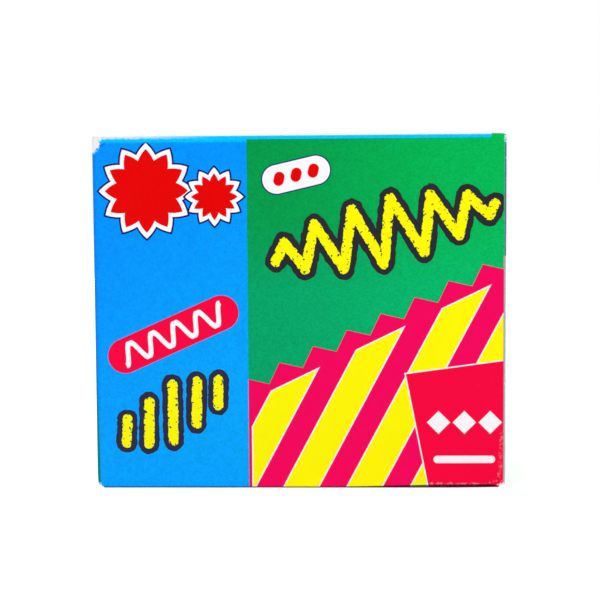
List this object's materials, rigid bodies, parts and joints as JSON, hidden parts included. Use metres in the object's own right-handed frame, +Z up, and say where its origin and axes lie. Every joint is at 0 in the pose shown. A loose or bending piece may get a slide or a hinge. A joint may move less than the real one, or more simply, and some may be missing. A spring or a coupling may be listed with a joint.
{
  "type": "carton of chalk sticks",
  "caption": "Folding paperboard carton with a hinged tuck lid, dust flaps and a glued bottom, filled with upright rows of yellow chalk sticks.",
  "frame": {"origin": "middle of the base, at the bottom centre of the closed carton's bounding box", "axes": "+X to the right as one faces the front wall, +Y to the back, +Z up; the front wall faces -Y"},
  "size_m": [0.099, 0.0976, 0.0855],
  "materials": {
    "printed_board": "coated paperboard, printed outside in blue and green fields, off-white inside",
    "chalk": "matt, powdery, yellow all through"
  },
  "bodies": {
    "carton": {"carton": "printed_board", "chalk_row_01": "chalk", "chalk_row_02": "chalk", "chalk_row_03": "chalk", "chalk_row_04": "chalk", "chalk_row_05": "chalk", "chalk_row_06": "chalk", "chalk_row_07": "chalk", "chalk_row_08": "chalk", "chalk_row_09": "chalk", "chalk_row_10": "chalk"},
    "lid": {"lid": "printed_board"}
  },
  "joints": [
    {"name": "lid_hinge", "type": "hinge", "parent": "carton", "child": "lid", "pos_m": [0.04947, 0, 0.08545], "axis": [0, 1, 0], "range_deg": [0, 180]}
  ]
}
